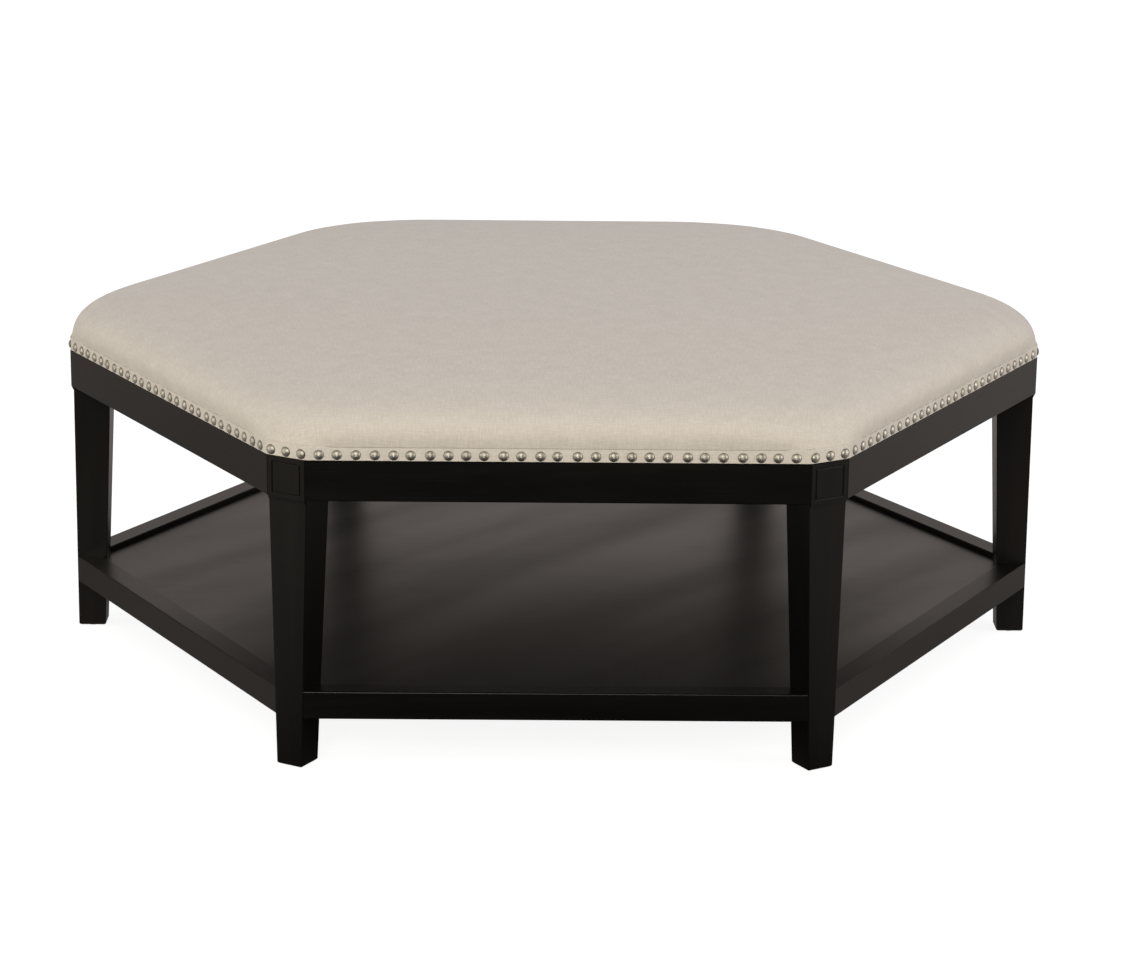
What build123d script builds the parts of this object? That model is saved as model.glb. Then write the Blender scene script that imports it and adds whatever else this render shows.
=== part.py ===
from build123d import *
import os
import random
from math import cos, radians, sin, sqrt, tan

os.makedirs("parts", exist_ok=True)

# A six-sided upholstered coffee table: regular hexagon in plan, a leg at each corner,
# two of the legs on the X axis and the front side facing -Y. The origin is on the floor
# under the middle of the cushion. All lengths are millimetres.

# Whole table
side_count = 6
table_width = 1219.2
frame_height = 368.3
crown_height = 88.9

# Legs
leg_width = 50.8
leg_depth = 46.0
foot_width = 33.9
foot_depth = 34.3
foot_bevel = 1.5
block_face_step = 2.8
block_bevel_drop = 5.5
leg_edge_radius = 1.2
groove_margin = 7.0
groove_foot_margin = 4.5
groove_half_width = 1.1
groove_depth = 0.7

# Glides under the feet
glide_radius = 11.0
glide_thickness = 2.0
glide_edge_radius = 0.8
glide_pin_radius = 1.2
glide_pin_length = 16.0

# Rails under the cushion
apron_height = 47.2
apron_thickness = 22.2
apron_edge_radius = 1.0

# Shelf
shelf_top_height = 94.5
shelf_rail_height = 33.0
shelf_rail_thickness = 28.8
shelf_rail_setback = 4.3
shelf_rail_edge_radius = 1.6
shelf_lip = 6.6
shelf_panel_thickness = 15.0
shelf_panel_gap = 0.3
cleat_width = 20.0
cleat_lift = 1.0
cleat_end_gap = 6.0

# Dowels
apron_dowel_radius = 4.0
apron_dowel_spacing = 22.0
apron_dowel_inset = 14.0
shelf_dowel_radius = 5.0
dowel_depth_in_leg = 15.0
dowel_depth_in_rail = 20.0
dowel_end_gap = 0.5

# Corner braces, their bolts and screws
brace_thickness = 22.0
brace_height = 40.0
bolt_radius = 4.0
bolt_depth_in_leg = 30.0
bolt_tail = 3.0
bolt_hole_gap = 0.5
washer_radius = 10.0
washer_thickness = 1.6
nut_across_flats = 13.0
nut_thickness = 6.5
wood_screw_radius = 2.2
wood_screw_head_radius = 4.0
wood_screw_head_height = 2.5
screw_pocket_gap = 0.4
brace_screw_along = 75.0
brace_screw_bite_in_brace = 10.0
brace_screw_bite_in_apron = 14.0
deck_screw_along = 42.0
deck_screw_pocket = 8.0
deck_screw_bite = 12.0
cleat_screw_bite = 16.0
cleat_screw_spacing = 180.0
cleat_screw_count = 3
shelf_screw_bite = 9.0
shelf_screw_spacing = 240.0
shelf_screw_count = 2

# Seat deck and dust cover
deck_thickness = 15.0
dust_cover_thickness = 0.8
dust_cover_apron_gap = 4.0
dust_cover_brace_gap = 2.0
dust_cover_corner_radius = 6.0
staple_crown_width = 10.0
staple_wire = 0.8
staple_bite = 6.0
staple_spacing = 82.0
staple_margin = 8.0
staples_per_side = 5

# Upholstery
cover_thickness = 1.5
cover_setback = 0.5
cover_corner_radius = 14.0
padding_gap = 0.3
wrap_thickness = 8.0
band_height = 17.0
swell = 6.4
swell_height = 31.0
roll_base_height = 17.2
crown_squareness = 3.0
roll_squareness = 3.55
rim_rounding = 138.0
rim_flat = 80.4
crown_rounding = 290.0
crown_flat = 163.0
swell_middle_share = 0.7
swell_middle_height_share = 0.5
roll_inset_shares = (0.001, 0.004, 0.01, 0.02, 0.034, 0.052, 0.076, 0.11, 0.155, 0.21, 0.28,
                     0.365, 0.46, 0.565, 0.68)
crown_inset_share = 0.8

# Decorative nails
nail_head_radius = 6.0
nail_head_rise = 3.2
nail_shank_radius = 0.8
nail_shank_length = 13.0
nail_centre_height = 6.5
nail_pitch = 20.5
nail_end_room = 16.0
corner_nail_spacing = 20.0
corner_nail_count = 3
nail_wander = 1.1
nail_seed = 11

# Room for tools that pass right through
overrun = 5.0

# Plan of the hexagon
turn = 360 / side_count
half_turn = turn / 2
quarter_turn = half_turn / 2
corner_reach = table_width / 2
sharp_reach = corner_reach + leg_width / 2 / tan(radians(turn))
side_reach = sharp_reach * cos(radians(half_turn))

side_names = ["back_right", "back", "back_left", "front_left", "front", "front_right"]
corner_names = ["right", "back_right", "back_left", "left", "front_left", "front_right"]
side_angles = {name: half_turn + turn * i for i, name in enumerate(side_names)}
corner_angles = {name: turn * i for i, name in enumerate(corner_names)}

apron_bottom = frame_height - apron_height
block_foot = apron_bottom - block_bevel_drop
shelf_bottom = shelf_top_height - shelf_rail_height
shelf_outer_reach = side_reach - shelf_rail_setback
shelf_inner_reach = shelf_outer_reach - shelf_rail_thickness
apron_inner_reach = side_reach - apron_thickness
leg_inner_reach = corner_reach - block_face_step - leg_depth
brace_inner_reach = leg_inner_reach - brace_thickness
panel_top = shelf_top_height - shelf_lip
panel_bottom = panel_top - shelf_panel_thickness
deck_top = frame_height + deck_thickness
band_reach = side_reach - cover_setback


def outward(angle):
    """Unit vector that points away from the middle of the table"""
    return Vector(cos(radians(angle)), sin(radians(angle)), 0)


def sideways(angle):
    """Unit vector along the side that faces the angle, clockwise from above"""
    return Vector(sin(radians(angle)), -cos(radians(angle)), 0)


def spot(angle, along, out, height):
    """Point along, outwards and above the floor, in the frame of one side or corner"""
    return sideways(angle) * along + outward(angle) * out + Vector(0, 0, height)


def level(angle, along=0, out=0, height=0):
    """Level plane with its y axis pointing outwards"""
    return Plane(spot(angle, along, out, height), x_dir=sideways(angle), z_dir=(0, 0, 1))


def facing_out(angle, along=0, out=0, height=0):
    """Upright plane that faces outwards"""
    return Plane(spot(angle, along, out, height), x_dir=-sideways(angle), z_dir=outward(angle))


def facing_along(angle, along=0, out=0, height=0):
    """Upright plane that faces along the side, with its x axis pointing outwards"""
    return Plane(spot(angle, along, out, height), x_dir=outward(angle), z_dir=sideways(angle))


def hexagon(reach, corner_flat, rounding):
    """Hexagon with its sides at the reach, and each corner cut flat and rounded"""
    half_side = reach * tan(radians(half_turn)) - corner_flat / 2 / cos(radians(half_turn))
    points = []
    for angle in side_angles.values():
        points.append(spot(angle, half_side, reach, 0))
        points.append(spot(angle, -half_side, reach, 0))
    with BuildSketch() as outline:
        Polygon(*[(point.X, point.Y) for point in points], align=None)
        fillet(outline.vertices(), rounding)
    return outline.sketch


def save(part, name):
    """Label the finished piece and write it"""
    part.label = name
    export_step(part, f"parts/{name}.step")


# Leg sizes that other pieces meet
foot_height = glide_thickness + foot_bevel
foot_inner_reach = corner_reach - foot_depth
leg_taper_height = block_foot - foot_height
width_taper_share = (leg_width - foot_width) / leg_taper_height


def leg_width_at(height):
    """Width of a leg at a height under its block"""
    return leg_width - (block_foot - height) * width_taper_share


def leg_side(angle, end, height):
    """Plane of the leg's side that the rail facing the angle ends on, looking at the rail"""
    corner = angle - end * half_turn
    slope = width_taper_share / 2 if height < block_foot else 0
    origin = spot(corner, -end * leg_width_at(min(height, block_foot)) / 2, corner_reach, height)
    normal = sideways(corner) * -end - Vector(0, 0, slope)
    return Plane(origin, x_dir=outward(corner), z_dir=normal)


def rail_end(reach, height):
    """Half length of a rail at the reach, from the middle of its side to the leg"""
    half_width = leg_width_at(min(height, block_foot)) / 2
    return reach * tan(radians(half_turn)) - half_width / cos(radians(half_turn))


# Dowels, placed first because the legs and the rails are bored for them
apron_dowel_reach = side_reach - apron_dowel_inset
apron_middle = frame_height - apron_height / 2
shelf_middle = shelf_top_height - shelf_rail_height / 2
shelf_dowel_reach = shelf_outer_reach - shelf_rail_thickness / 2


def dowel_planes(reach, height):
    """Planes where the dowels of one height start, inside the rails"""
    start = rail_end(reach, height) - dowel_depth_in_rail
    planes = []
    for angle in side_angles.values():
        planes.append(facing_along(angle, start, reach, height))
        planes.append(Plane(spot(angle, -start, reach, height), x_dir=outward(angle),
                            z_dir=-sideways(angle)))
    return planes


apron_dowel_planes = []
for step in (-1, 1):
    step_height = apron_middle + step * apron_dowel_spacing / 2
    apron_dowel_planes += dowel_planes(apron_dowel_reach, step_height)
shelf_dowel_planes = dowel_planes(shelf_dowel_reach, shelf_middle)
dowel_length = dowel_depth_in_leg + dowel_depth_in_rail
upwards = (Align.CENTER, Align.CENTER, Align.MIN)
downwards = (Align.CENTER, Align.CENTER, Align.MAX)

with BuildPart() as apron_dowels:
    with Locations(*apron_dowel_planes):
        Cylinder(apron_dowel_radius, dowel_length, align=upwards)

with BuildPart() as apron_dowel_holes:
    with Locations(*[plane.offset(-dowel_end_gap) for plane in apron_dowel_planes]):
        Cylinder(apron_dowel_radius, dowel_length + 2 * dowel_end_gap, align=upwards)

with BuildPart() as shelf_dowels:
    with Locations(*shelf_dowel_planes):
        Cylinder(shelf_dowel_radius, dowel_length, align=upwards)

with BuildPart() as shelf_dowel_holes:
    with Locations(*[plane.offset(-dowel_end_gap) for plane in shelf_dowel_planes]):
        Cylinder(shelf_dowel_radius, dowel_length + 2 * dowel_end_gap, align=upwards)

save(apron_dowels.part, "apron_dowels")
save(shelf_dowels.part, "shelf_dowels")

# Legs: a square block over a leg that tapers inwards on three faces
groove_top = frame_height - groove_margin
groove_bottom = apron_bottom + groove_foot_margin
groove_along = leg_width / 2 - groove_margin

# Each section: height, width, reach of its outer face, reach of its inner face
leg_sections = [
    (glide_thickness, foot_width - 2 * foot_bevel, corner_reach - foot_bevel,
     foot_inner_reach + foot_bevel),
    (foot_height, foot_width, corner_reach, foot_inner_reach),
    (block_foot, leg_width, corner_reach - block_face_step, leg_inner_reach),
    (apron_bottom, leg_width, corner_reach, leg_inner_reach),
    (frame_height, leg_width, corner_reach, leg_inner_reach),
]

for name, angle in corner_angles.items():
    with BuildPart() as leg:
        for height, width, outer, inner in leg_sections:
            with BuildSketch(level(angle, 0, (outer + inner) / 2, height)):
                RectangleRounded(width, outer - inner, leg_edge_radius)
        loft(ruled=True)
        # Routed line round the face of the block
        for along in (-groove_along, groove_along):
            with BuildSketch(level(angle, along, corner_reach, groove_bottom)):
                Polygon(
                    (0, -groove_depth),
                    (2 * groove_half_width, groove_depth),
                    (-2 * groove_half_width, groove_depth),
                    align=None,
                )
            extrude(amount=groove_top - groove_bottom, mode=Mode.SUBTRACT)
        for height in (groove_bottom, groove_top):
            with BuildSketch(facing_along(angle, -groove_along, corner_reach, height)):
                Polygon(
                    (-groove_depth, 0),
                    (groove_depth, 2 * groove_half_width),
                    (groove_depth, -2 * groove_half_width),
                    align=None,
                )
            extrude(amount=2 * groove_along, mode=Mode.SUBTRACT)
        # Bores for the dowels, the corner bolt and the glide's pin
        add(apron_dowel_holes.part, mode=Mode.SUBTRACT)
        add(shelf_dowel_holes.part, mode=Mode.SUBTRACT)
        with Locations(facing_out(angle, out=leg_inner_reach, height=apron_middle)):
            Cylinder(bolt_radius, bolt_depth_in_leg, align=upwards, mode=Mode.SUBTRACT)
        with Locations(level(angle, out=corner_reach - foot_depth / 2, height=glide_thickness)):
            Cylinder(glide_pin_radius, glide_pin_length, align=upwards, mode=Mode.SUBTRACT)
    save(leg.part, f"leg_{name}")

    with BuildPart() as glide:
        with Locations(level(angle, out=corner_reach - foot_depth / 2)):
            Cylinder(glide_radius, glide_thickness, align=upwards)
            fillet(glide.edges().group_by(Axis.Z)[0], glide_edge_radius)
        with Locations(level(angle, out=corner_reach - foot_depth / 2, height=glide_thickness)):
            Cylinder(glide_pin_radius, glide_pin_length, align=upwards)
    save(glide.part, f"glide_{name}")

# Corner braces behind the legs, between the aprons
brace_bottom = frame_height - brace_height
brace_outer_half = (apron_inner_reach - leg_inner_reach * cos(radians(half_turn))) \
    / sin(radians(half_turn))
brace_inner_half = (apron_inner_reach - brace_inner_reach * cos(radians(half_turn))) \
    / sin(radians(half_turn))
pocket_radius = wood_screw_head_radius + screw_pocket_gap


def in_side(reach, along):
    """Where a point of a corner's frame lies in the frame of a side beside it"""
    side_along = reach * sin(radians(half_turn)) - along * cos(radians(half_turn))
    side_out = reach * cos(radians(half_turn)) + along * sin(radians(half_turn))
    return side_along, side_out


brace_screw_x, _ = in_side(brace_inner_reach, brace_screw_along)
brace_screw_head_out = apron_inner_reach - brace_screw_bite_in_brace
deck_screw_reach = (leg_inner_reach + brace_inner_reach) / 2
deck_screw_head_height = brace_bottom + deck_screw_pocket

brace_screw_planes = []
for angle in side_angles.values():
    for end in (-1, 1):
        brace_screw_planes.append(
            facing_out(angle, end * brace_screw_x, brace_screw_head_out, apron_middle))
deck_screw_planes = []
for angle in corner_angles.values():
    for end in (-1, 1):
        deck_screw_planes.append(
            level(angle, end * deck_screw_along, deck_screw_reach, deck_screw_head_height))

brace_screw_length = brace_screw_bite_in_brace + brace_screw_bite_in_apron
deck_screw_length = frame_height - deck_screw_head_height + deck_screw_bite

with BuildPart() as brace_screws:
    with Locations(*brace_screw_planes):
        Cylinder(wood_screw_radius, brace_screw_length, align=upwards)
        Cylinder(wood_screw_head_radius, wood_screw_head_height, align=downwards)

with BuildPart() as deck_screws:
    with Locations(*deck_screw_planes):
        Cylinder(wood_screw_radius, deck_screw_length, align=upwards)
        Cylinder(wood_screw_head_radius, wood_screw_head_height, align=downwards)

save(brace_screws.part, "brace_screws")
save(deck_screws.part, "deck_screws")

for name, angle in corner_angles.items():
    with BuildPart() as brace:
        with BuildSketch(level(angle, height=brace_bottom)):
            Polygon(
                (-brace_outer_half, leg_inner_reach),
                (brace_outer_half, leg_inner_reach),
                (brace_inner_half, brace_inner_reach),
                (-brace_inner_half, brace_inner_reach),
                align=None,
            )
        extrude(amount=brace_height)
        with Locations(facing_out(angle, out=brace_inner_reach, height=apron_middle)):
            Cylinder(bolt_radius + bolt_hole_gap, brace_thickness, align=upwards,
                     mode=Mode.SUBTRACT)
        add(brace_screws.part, mode=Mode.SUBTRACT)
        add(deck_screws.part, mode=Mode.SUBTRACT)
        with Locations(*brace_screw_planes):
            Cylinder(pocket_radius, brace_thickness + overrun, align=downwards,
                     mode=Mode.SUBTRACT)
        with Locations(*deck_screw_planes):
            Cylinder(pocket_radius, deck_screw_pocket + overrun, align=downwards,
                     mode=Mode.SUBTRACT)
    save(brace.part, f"corner_brace_{name}")

# Corner bolts with their washers and nuts
washer_reach = brace_inner_reach - washer_thickness
nut_reach = washer_reach - nut_thickness
bolt_length = bolt_tail + nut_thickness + washer_thickness + brace_thickness + bolt_depth_in_leg
nut_radius = nut_across_flats / 2 / cos(radians(half_turn))

with BuildPart() as corner_bolts:
    for angle in corner_angles.values():
        with Locations(facing_out(angle, out=nut_reach - bolt_tail, height=apron_middle)):
            Cylinder(bolt_radius, bolt_length, align=upwards)

with BuildPart() as corner_washers:
    for angle in corner_angles.values():
        with BuildSketch(facing_out(angle, out=washer_reach, height=apron_middle)):
            Circle(washer_radius)
            Circle(bolt_radius, mode=Mode.SUBTRACT)
        extrude(amount=washer_thickness)

with BuildPart() as corner_nuts:
    for angle in corner_angles.values():
        with BuildSketch(facing_out(angle, out=nut_reach, height=apron_middle)):
            RegularPolygon(nut_radius, side_count)
            Circle(bolt_radius, mode=Mode.SUBTRACT)
        extrude(amount=nut_thickness)

save(corner_bolts.part, "corner_bolts")
save(corner_washers.part, "corner_washers")
save(corner_nuts.part, "corner_nuts")


def bar_between_legs(angle, outer, inner, bottom, height):
    """Straight bar along one side, its ends cut to the legs' sides"""
    outer_half = outer * tan(radians(half_turn))
    inner_half = inner * tan(radians(half_turn))
    with BuildPart() as bar:
        with BuildSketch(level(angle, height=bottom)):
            Polygon(
                (-outer_half, outer),
                (outer_half, outer),
                (inner_half, inner),
                (-inner_half, inner),
                align=None,
            )
        extrude(amount=height)
        for end in (-1, 1):
            split(bisect_by=leg_side(angle, end, bottom), keep=Keep.TOP)
    return bar.part


# Aprons and shelf rails
for name, angle in side_angles.items():
    bar = bar_between_legs(angle, side_reach, apron_inner_reach, apron_bottom, apron_height)
    with BuildPart() as apron:
        add(bar)
        long_edges = apron.edges().filter_by(Axis((0, 0, 0), sideways(angle)))
        fillet(long_edges.group_by(Axis.Z)[0], apron_edge_radius)
        add(apron_dowel_holes.part, mode=Mode.SUBTRACT)
        add(brace_screws.part, mode=Mode.SUBTRACT)
    save(apron.part, f"apron_{name}")

# Cleats under the shelf panel, and the screws that hold them and the panel
cleat_bottom = shelf_bottom + cleat_lift
cleat_inner_reach = shelf_inner_reach - cleat_width
cleat_middle = (cleat_bottom + panel_bottom) / 2
cleat_middle_reach = shelf_inner_reach - cleat_width / 2


def spread(count, spacing):
    """Places along a side, evenly spaced about its middle"""
    return [spacing * (i - (count - 1) / 2) for i in range(count)]


cleat_screw_planes = []
shelf_screw_planes = []
for angle in side_angles.values():
    for along in spread(cleat_screw_count, cleat_screw_spacing):
        cleat_screw_planes.append(
            facing_out(angle, along, cleat_inner_reach + wood_screw_head_height, cleat_middle))
    for along in spread(shelf_screw_count, shelf_screw_spacing):
        shelf_screw_planes.append(
            level(angle, along, cleat_middle_reach, cleat_bottom + wood_screw_head_height))

cleat_screw_length = cleat_width - wood_screw_head_height + cleat_screw_bite
shelf_screw_length = panel_bottom - cleat_bottom - wood_screw_head_height + shelf_screw_bite

with BuildPart() as cleat_screws:
    with Locations(*cleat_screw_planes):
        Cylinder(wood_screw_radius, cleat_screw_length, align=upwards)
        Cylinder(wood_screw_head_radius, wood_screw_head_height, align=downwards)

with BuildPart() as shelf_screws:
    with Locations(*shelf_screw_planes):
        Cylinder(wood_screw_radius, shelf_screw_length, align=upwards)
        Cylinder(wood_screw_head_radius, wood_screw_head_height, align=downwards)

save(cleat_screws.part, "cleat_screws")
save(shelf_screws.part, "shelf_screws")

for name, angle in side_angles.items():
    bar = bar_between_legs(angle, shelf_outer_reach, shelf_inner_reach, shelf_bottom,
                           shelf_rail_height)
    with BuildPart() as shelf_rail:
        add(bar)
        long_edges = shelf_rail.edges().filter_by(Axis((0, 0, 0), sideways(angle)))
        fillet(long_edges, shelf_rail_edge_radius)
        add(shelf_dowel_holes.part, mode=Mode.SUBTRACT)
        add(cleat_screws.part, mode=Mode.SUBTRACT)
    save(shelf_rail.part, f"shelf_rail_{name}")

    cleat_half = rail_end(cleat_inner_reach, shelf_bottom) - cleat_end_gap
    with BuildPart() as cleat:
        with BuildSketch(level(angle, 0, cleat_middle_reach, cleat_bottom)):
            Rectangle(2 * cleat_half, cleat_width)
        extrude(amount=panel_bottom - cleat_bottom)
        add(cleat_screws.part, mode=Mode.SUBTRACT)
        add(shelf_screws.part, mode=Mode.SUBTRACT)
    save(cleat.part, f"shelf_cleat_{name}")

# Shelf panel, notched round the legs
panel_reach = shelf_inner_reach - shelf_panel_gap
notch_reach = foot_inner_reach - shelf_panel_gap \
    - (foot_inner_reach - leg_inner_reach) * (panel_top - foot_height) / leg_taper_height
notch_half = leg_width_at(panel_top) / 2 + shelf_panel_gap

with BuildPart() as shelf_panel:
    with BuildSketch(Plane.XY.offset(panel_bottom)):
        RegularPolygon(panel_reach / cos(radians(half_turn)), side_count)
        for angle in corner_angles.values():
            with Locations(level(angle, out=notch_reach).location):
                Rectangle(2 * notch_half, sharp_reach - notch_reach,
                          align=(Align.CENTER, Align.MIN), mode=Mode.SUBTRACT)
    extrude(amount=shelf_panel_thickness)
    add(shelf_screws.part, mode=Mode.SUBTRACT)
save(shelf_panel.part, "shelf_panel")

# Decorative nails: a domed head and a shank, in one row round the foot of the cushion
dome_radius = (nail_head_radius ** 2 + nail_head_rise ** 2) / 2 / nail_head_rise
with BuildPart() as nail:
    with BuildSketch(Plane.XZ):
        with Locations((0, nail_head_rise - dome_radius)):
            Circle(dome_radius)
        Rectangle(2 * dome_radius, 2 * dome_radius, align=(Align.CENTER, Align.MAX),
                  mode=Mode.SUBTRACT)
        Rectangle(dome_radius, nail_head_rise, align=(Align.MAX, Align.MIN),
                  mode=Mode.SUBTRACT)
    revolve(axis=Axis.Z)
    Cylinder(nail_shank_radius, nail_shank_length, align=downwards)

hand = random.Random(nail_seed)
nail_height = frame_height + nail_centre_height
nail_run = 2 * rail_end(side_reach, frame_height) - 2 * nail_end_room
nail_count = int(nail_run / nail_pitch) + 1
nail_trims = {}
for name, angle in side_angles.items():
    planes = []
    for along in spread(nail_count, nail_pitch):
        wander = nail_wander * hand.uniform(-1, 1)
        planes.append(facing_out(angle, along + wander, band_reach, nail_height))
    for along in spread(corner_nail_count, corner_nail_spacing):
        planes.append(
            facing_out(angle + half_turn, along, corner_reach - cover_setback, nail_height))
    with BuildPart() as nail_trim:
        with Locations(*planes):
            add(nail.part)
    save(nail_trim.part, f"nail_trim_{name}")
    nail_trims[name] = nail_trim.part

# Staples that hold the dust cover under the deck
dust_cover_top = frame_height
dust_cover_bottom = dust_cover_top - dust_cover_thickness
dust_cover_reach = apron_inner_reach - dust_cover_apron_gap
dust_cover_corner_reach = brace_inner_reach - dust_cover_brace_gap
dust_cover_flat = (dust_cover_reach / cos(radians(half_turn)) - dust_cover_corner_reach) \
    * 2 * tan(radians(turn))
staple_reach = dust_cover_reach - staple_margin
staple_leg_length = staple_wire + dust_cover_thickness + staple_bite
staple_leg_along = (staple_crown_width - staple_wire) / 2

staple_crown_planes = []
staple_leg_planes = []
for angle in side_angles.values():
    for along in spread(staples_per_side, staple_spacing):
        staple_crown_planes.append(level(angle, along, staple_reach, dust_cover_bottom))
        for step in (-1, 1):
            staple_leg_planes.append(level(angle, along + step * staple_leg_along, staple_reach,
                                           dust_cover_bottom - staple_wire))

with BuildPart() as dust_cover_staples:
    with Locations(*staple_crown_planes):
        Box(staple_crown_width, staple_wire, staple_wire, align=downwards)
    with Locations(*staple_leg_planes):
        Box(staple_wire, staple_wire, staple_leg_length, align=upwards)
save(dust_cover_staples.part, "dust_cover_staples")

with BuildPart() as dust_cover:
    with BuildSketch(Plane.XY.offset(dust_cover_bottom)):
        add(hexagon(dust_cover_reach, dust_cover_flat, dust_cover_corner_radius))
    extrude(amount=dust_cover_thickness)
    add(dust_cover_staples.part, mode=Mode.SUBTRACT)
save(dust_cover.part, "dust_cover")

# Seat deck: the plywood that carries the padding and takes the nails
deck_inset = cover_thickness + padding_gap
flat_loss = 2 * tan(radians(quarter_turn))

with BuildPart() as seat_deck:
    with BuildSketch(Plane.XY.offset(frame_height)):
        add(hexagon(band_reach - deck_inset, leg_width - flat_loss * deck_inset,
                    cover_corner_radius - deck_inset))
    extrude(amount=deck_thickness)
    for trim in nail_trims.values():
        add(trim, mode=Mode.SUBTRACT)
    add(deck_screws.part, mode=Mode.SUBTRACT)
    add(dust_cover_staples.part, mode=Mode.SUBTRACT)
save(seat_deck.part, "seat_deck")


def crown_rise(share):
    """Height of the cushion over the frame, at a share of the way from rim to middle"""
    fall = 1 - (1 - share) ** crown_squareness
    return roll_base_height + (crown_height - roll_base_height) * fall ** (1 / roll_squareness)


def between(start, finish, share):
    """Value at a share of the way from start to finish"""
    return start + (finish - start) * share


def cushion_form(shrink):
    """Outer form of the upholstered top, drawn in all round by the shrink"""
    rim_reach = side_reach + swell
    # Each section: height over the frame, reach of the sides, corner flat, corner rounding
    sections = [
        (band_height, band_reach, leg_width, cover_corner_radius),
        (
            between(band_height, swell_height, swell_middle_height_share),
            between(band_reach, rim_reach, swell_middle_share),
            between(leg_width, rim_flat, swell_middle_share),
            between(cover_corner_radius, rim_rounding, swell_middle_share),
        ),
        (swell_height, rim_reach, rim_flat, rim_rounding),
    ]
    for share in roll_inset_shares:
        opened = sqrt(share / crown_inset_share)
        sections.append((
            crown_rise(share),
            rim_reach * (1 - share),
            between(rim_flat, crown_flat, opened) * (1 - share),
            between(rim_rounding, crown_rounding, opened) * (1 - share),
        ))
    sections.append((
        crown_height,
        rim_reach * (1 - crown_inset_share),
        crown_flat * (1 - crown_inset_share),
        crown_rounding * (1 - crown_inset_share),
    ))
    with BuildPart() as form:
        for rise, reach, flat, rounding in sections:
            with BuildSketch(Plane.XY.offset(frame_height + rise - shrink)):
                add(hexagon(reach - shrink, flat - flat_loss * shrink, rounding - shrink))
        loft(ruled=True)
        with BuildSketch(Plane.XY.offset(frame_height + band_height - shrink)):
            add(hexagon(band_reach - shrink, leg_width - flat_loss * shrink,
                        cover_corner_radius - shrink))
        extrude(amount=shrink - band_height)
    return form.part


# Upholstery: fabric cover over a soft wrap over a foam pad
cover_outer = cushion_form(0)
cover_inner = cushion_form(cover_thickness)
wrap_outer = cushion_form(cover_thickness + padding_gap)
wrap_inner = cushion_form(cover_thickness + padding_gap + wrap_thickness)
foam_outer = cushion_form(cover_thickness + wrap_thickness + 2 * padding_gap)

with BuildPart() as seat_cover:
    add(cover_outer)
    add(cover_inner, mode=Mode.SUBTRACT)
    for trim in nail_trims.values():
        add(trim, mode=Mode.SUBTRACT)
save(seat_cover.part, "seat_cover")

with BuildPart() as padding_wrap:
    add(wrap_outer)
    add(wrap_inner, mode=Mode.SUBTRACT)
    split(bisect_by=Plane.XY.offset(deck_top), keep=Keep.TOP)
save(padding_wrap.part, "padding_wrap")

with BuildPart() as foam_pad:
    add(foam_outer)
    split(bisect_by=Plane.XY.offset(deck_top), keep=Keep.TOP)
save(foam_pad.part, "foam_pad")
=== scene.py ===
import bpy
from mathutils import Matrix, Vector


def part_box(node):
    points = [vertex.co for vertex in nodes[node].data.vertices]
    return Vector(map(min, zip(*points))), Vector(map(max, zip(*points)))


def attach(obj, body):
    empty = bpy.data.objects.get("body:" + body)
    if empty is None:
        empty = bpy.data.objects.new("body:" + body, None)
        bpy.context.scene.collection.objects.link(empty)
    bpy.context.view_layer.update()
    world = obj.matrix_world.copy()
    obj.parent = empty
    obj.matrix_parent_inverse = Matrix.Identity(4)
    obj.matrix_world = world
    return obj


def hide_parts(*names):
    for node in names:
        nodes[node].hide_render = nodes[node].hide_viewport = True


bl_info = {
    "name": "Hexagonal ottoman table",
    "version": (1, 0, 0),
    "blender": (4, 5, 0),
    "location": "3D View > Sidebar > Ottoman",
    "description": "Dresses the hexagonal ottoman coffee table and sets up its stage",
    "category": "Object",
}

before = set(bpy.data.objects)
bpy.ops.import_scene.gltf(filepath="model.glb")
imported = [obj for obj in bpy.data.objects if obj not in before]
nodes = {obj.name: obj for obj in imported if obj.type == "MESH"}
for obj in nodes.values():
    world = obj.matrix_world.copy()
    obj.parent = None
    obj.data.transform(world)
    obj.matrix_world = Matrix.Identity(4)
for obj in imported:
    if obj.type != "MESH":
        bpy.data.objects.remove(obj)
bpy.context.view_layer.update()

import math

import bmesh
import bpy
from bpy.props import FloatProperty, FloatVectorProperty, IntProperty, PointerProperty
from mathutils import Matrix, Vector, kdtree, noise

MM = 0.001

# Where each side and each corner faces, in degrees from +X
SIDES = {"back_right": 30, "back": 90, "back_left": 150, "front_left": 210, "front": 270,
         "front_right": 330}
CORNERS = {"right": 0, "back_right": 60, "back_left": 120, "left": 180, "front_left": 240,
           "front_right": 300}
SIDE_TO_CORNER = 30

# Places read from the frame
frame_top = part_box("seat_deck")[0].z
deck_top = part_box("seat_deck")[1].z
crown_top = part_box("seat_cover")[1].z
nail_tip = -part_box("nail_trim_front")[0].y
corner_nail_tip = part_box("nail_trim_front_right")[1].x
dust_low, dust_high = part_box("dust_cover")


def outward(angle):
    """Unit vector that points away from the middle of the table"""
    turn = math.radians(angle)
    return Vector((math.cos(turn), math.sin(turn), 0))


def nearest_side(place):
    """Angle of the side whose sector holds the place"""
    return max(SIDES.values(), key=lambda angle: place.dot(outward(angle)))


# Shader maths

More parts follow.
